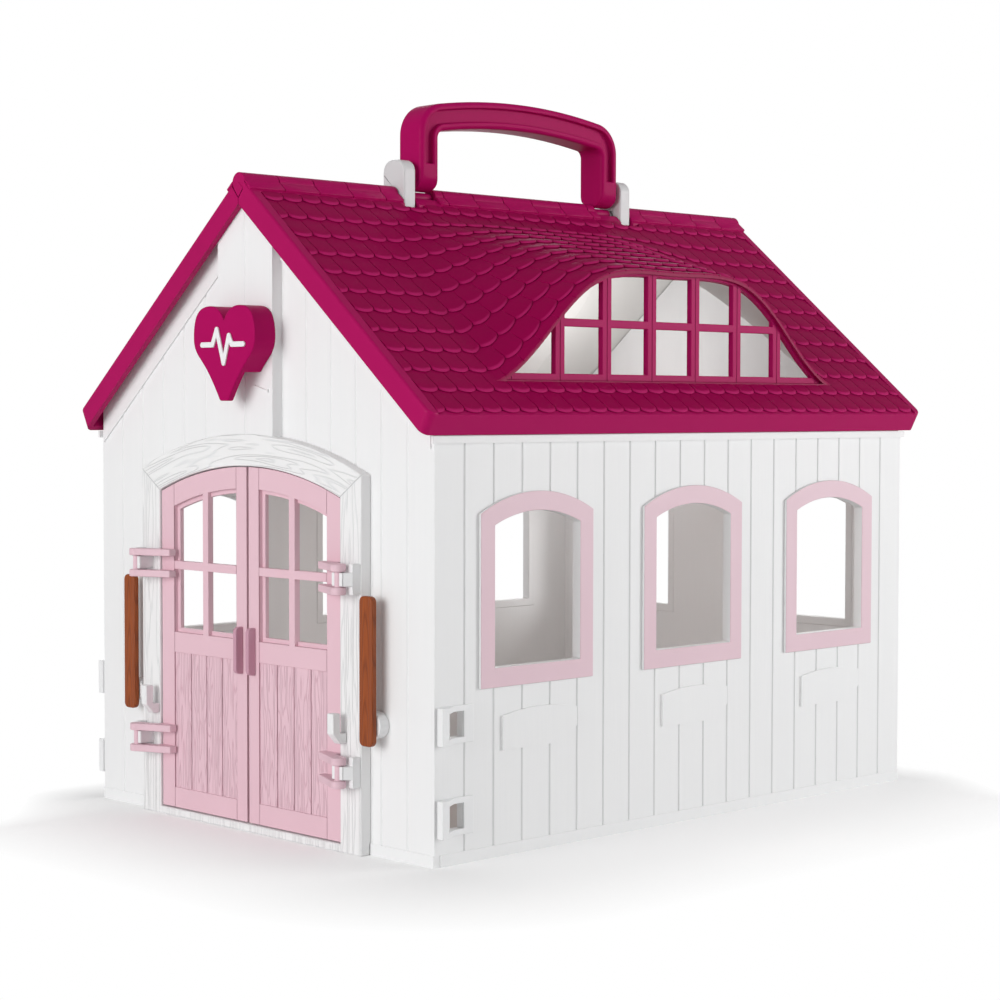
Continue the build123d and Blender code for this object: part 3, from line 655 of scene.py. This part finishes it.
knuckle_count = 17
tile_run = 2 * roof_end / knuckle_count
ridge_joint = 0.25
ridge_tile_low = 6.53
ridge_tile_proud = 0.8
cap_radius = 3.55
cap_inner = 3.0
cap_clear = 3.68
surface_above = 2.6 * cos(roof_angle)
leg_from, leg_to = 43.4, 54.0
shortest_span = 0.8
sleeve_radius = 2.05


def by_pin(along, above):
    """A point given down the slope and square to it, from the ridge pin."""
    x = along * cos(roof_angle) + above * sin(roof_angle)
    return x, pin_z - along * sin(roof_angle) + above * cos(roof_angle)


def plain_outline():
    top = surface_above + ridge_tile_proud
    levels = [surface_above - 0.3 + (top - surface_above + 0.3) * step / 4 for step in range(5)]
    nose = [by_pin(sqrt(cap_clear**2 - level**2), level) for level in levels]
    return nose + [
        by_pin(ridge_tile_low - 0.2, top),
        by_pin(ridge_tile_low, top - 0.35),
        by_pin(ridge_tile_low, surface_above - 0.3),
    ]


def cap_outline():
    """From the low edge up over the ridge barrel to the far side."""
    top = surface_above + ridge_tile_proud
    points = [
        by_pin(ridge_tile_low, surface_above - 0.3),
        by_pin(ridge_tile_low, top - 0.35),
        by_pin(ridge_tile_low - 0.2, top),
    ]
    start = atan2(top, sqrt(cap_radius**2 - top**2)) - roof_angle
    end = pi + roof_angle - asin(surface_above / cap_radius) + 0.1
    steps = 14
    turns = [start + (end - start) * step / steps for step in range(steps + 1)]
    points += [(cap_radius * cos(turn), pin_z + cap_radius * sin(turn)) for turn in turns]
    points += [(cap_inner * cos(turn), pin_z + cap_inner * sin(turn)) for turn in reversed(turns)]
    return points


def drawn_out(outline, start, end):
    """A bar with the given outline in X and Z, drawn out along Y."""
    let_go()
    bpy.ops.mesh.primitive_circle_add(vertices=len(outline), radius=1, fill_type="NGON")
    piece = bpy.context.object
    for vertex, (x, z) in zip(piece.data.vertices, outline):
        vertex.co = Vector((x, start, z)) * mm
    edit(piece)
    move = {"value": (0, (end - start) * mm, 0)}
    bpy.ops.mesh.extrude_region_move(TRANSFORM_OT_translate=move)
    bpy.ops.mesh.select_all(action="SELECT")
    bpy.ops.mesh.normals_make_consistent(inside=False)
    done()
    return piece


def free_spans(start, end):
    """The stretches of a ridge tile that the legs and posts leave."""
    spans = [(start, end)]
    for low, high in ((leg_from, leg_to), (post_from, post_to)):
        for near, far in ((low, high), (-high, -low)):
            cut_up = []
            for first, last in spans:
                if near < last and far > first:
                    cut_up += [(first, near), (far, last)]
                else:
                    cut_up.append((first, last))
            spans = [(first, last) for first, last in cut_up if last - first > shortest_span]
    return spans


def ridge_tiles(parity):
    pieces = []
    last = knuckle_count // 2
    for index in range(-last, last + 1):
        outline = cap_outline() if index % 2 == parity else plain_outline()
        middle = index * tile_run
        half = (tile_run - ridge_joint) / 2
        start, end = max(middle - half, 0.1 - roof_end), min(middle + half, roof_end - 0.1)
        pieces += [drawn_out(outline, *span) for span in free_spans(start, end)]
    row = pieces[0]
    take(row)
    for piece in pieces:
        piece.select_set(True)
    bpy.ops.object.join()
    use(row, "BEVEL", width=0.16 * mm, segments=1, limit_method="ANGLE", angle_limit=radians(50))
    smooth(row, 35)
    return row


right_row = ridge_tiles(0)
named(right_row, "ridge_tiles_right", "roof_right", finishes["roof_magenta"])
left_pattern = ridge_tiles(1)
left_row = mirror_copy(left_pattern, "ridge_tiles_left")
bpy.data.objects.remove(left_pattern)
smooth(left_row, 35)
named(left_row, "ridge_tiles_left", "roof_left", finishes["roof_magenta"])


def ridge_sleeve(name, middle):
    """The barrel that covers the pin under a leg of the handle."""
    let_go()
    bpy.ops.mesh.primitive_cylinder_add(
        vertices=32, radius=sleeve_radius * mm, depth=(leg_to - leg_from - 0.8) * mm,
        location=(0, middle * mm, pin_z * mm), rotation=(pi / 2, 0, 0),
    )
    sleeve = bpy.context.object
    bpy.ops.object.transform_apply(location=True, rotation=True, scale=True)
    use(sleeve, "BEVEL", width=0.3 * mm, segments=2, limit_method="ANGLE", angle_limit=radians(50))
    smooth(sleeve)
    named(sleeve, name, "cabin", finishes["roof_magenta"])


leg_middle = (leg_from + leg_to) / 2
ridge_sleeve("ridge_sleeve_front", -leg_middle)
ridge_sleeve("ridge_sleeve_rear", leg_middle)


# The little stay on the bay beside the heart sign

def sign_stay():
    bay_face = 130.3
    let_go()
    bpy.ops.mesh.primitive_cube_add(size=1)
    stay = bpy.context.object
    for vertex in stay.data.vertices:
        x = 5.4 if vertex.co.x < 0 else 12.0
        z = 156.0 if vertex.co.x < 0 else 154.3
        y = -bay_face + 0.2 - (0.9 if vertex.co.y < 0 else 0)
        vertex.co = Vector((x, y, z + vertex.co.z * 0.8)) * mm
    edit(stay)
    bpy.ops.mesh.select_all(action="DESELECT")
    done()
    for face in stay.data.polygons:
        face.select = face.center.x > 11.9 * mm
    take(stay)
    bpy.ops.object.mode_set(mode="EDIT")
    bpy.ops.mesh.extrude_region_move(TRANSFORM_OT_translate={"value": (1.3 * mm, 0, 0)})
    bpy.ops.transform.resize(value=(1, 1, 1.7))
    done()
    use(stay, "BEVEL", width=0.15 * mm, segments=2, limit_method="ANGLE", angle_limit=radians(40))
    smooth(stay)
    named(stay, "sign_stay", "cabin", finishes["white_wall"])


sign_stay()


# Floor, backdrop and lamps

def add_floor():
    """A pale floor that fades to white, with painted light: for the camera a glow is added, and it
    hides the floor's shadows sooner at the left and behind than in front.
    """
    white = shade(1, 1, 1)
    made = Finish("studio_floor", 0.0)
    beside = made.x.maths("MAXIMUM", abs(made.x) - footprint_x, 0.0)
    before = made.x.maths("MAXIMUM", abs(made.y) - footprint_y, 0.0)
    far = (beside * beside + before * before) ** 0.5
    rays = made.node("ShaderNodeLightPath", output="Is Camera Ray")
    speck = made.noise(40.0)
    made.finish(made.blend(speck, shade(0.9, 0.9, 0.9), shade(0.92, 0.92, 0.92)), 0.9)
    surface = Wire(made, made.shader.outputs[0])
    # Painted light: a faint glow, seen only by the camera, brightens the whole floor.
    lift = made.node("ShaderNodeEmission", None, {"Color": white, "Strength": 0.16})
    glow = made.node("ShaderNodeEmission", None, {"Color": white, "Strength": 1.0})
    bright = made.node("ShaderNodeAddShader", None, {0: surface, 1: lift})
    near = made.node("ShaderNodeMixShader", None, {0: rays, 1: surface, 2: bright})
    # Painted light: the white glow takes over sooner at the left and behind, covering the shadows
    # there.
    aside = (made.x * -1).above(85.0, 40.0) + made.y.above(132.0, 30.0)
    fade = (far * (aside * 2.0 + 1.0)).above(47.0, 84.0) * rays
    mixed = made.node("ShaderNodeMixShader", None, {0: fade, 1: near, 2: glow})
    made.join(made.tree.nodes["Material Output"].inputs["Surface"], mixed)
    let_go()
    bpy.ops.mesh.primitive_plane_add(size=12)
    floor = bpy.context.object
    floor.name = "studio_floor"
    coat(floor, made.material)


def add_backdrop():
    """Soft light all round, seen as white by the camera and through clear pieces."""
    world = bpy.data.worlds.new("studio")
    bpy.context.scene.world = world
    world.use_nodes = True
    made = Shading(world.node_tree)
    background = made.tree.nodes["Background"]
    made.join(background.inputs["Strength"], 0.34)
    made.join(background.inputs["Color"], shade(1, 1, 1))
    soft = Wire(made, background.outputs[0])
    white = made.node("ShaderNodeBackground", None, {"Strength": 1.0, "Color": shade(1, 1, 1)})
    straight = made.node("ShaderNodeLightPath", output="Is Camera Ray")
    through = made.node("ShaderNodeLightPath", output="Is Transmission Ray")
    seen = straight.maths("MAXIMUM", straight, through)
    mixed = made.node("ShaderNodeMixShader", None, {0: seen, 1: soft, 2: white})
    made.join(made.tree.nodes["World Output"].inputs["Surface"], mixed)


def lamp(name, place, target, size, power, tint=(1.0, 1.0, 1.0)):
    light = bpy.data.lights.new(name, "AREA")
    light.shape = "DISK"
    light.size = size
    light.energy = power
    light.color = tint
    holder = bpy.data.objects.new(name, light)
    bpy.context.scene.collection.objects.link(holder)
    holder.location = place
    holder.rotation_euler = (Vector(target) - Vector(place)).to_track_quat("-Z", "Y").to_euler()


add_floor()
add_backdrop()
centre = (0, 0, 0.12)
lamp("front_lamp", (0.15, -2.2, 0.4), centre, 1.5, 32)
lamp("side_lamp", (1.1, 1.05, 0.35), (0.09, 0.11, 0.1), 0.9, 12.5)
lamp("back_lamp", (-1.8, 1.6, 0.6), centre, 1.6, 13)
warm = (1.0, 0.93, 0.87)
lamp("cabin_lamp", (0.01, 0.02, 0.165), (0.01, 0.02, 0.0), 0.05, 0.045, warm)
lamp("loft_lamp", (-0.012, 0.05, 0.15), (-0.042, 0.082, 0.192), 0.02, 0.035)

bpy.context.scene.view_settings.view_transform = "Standard"
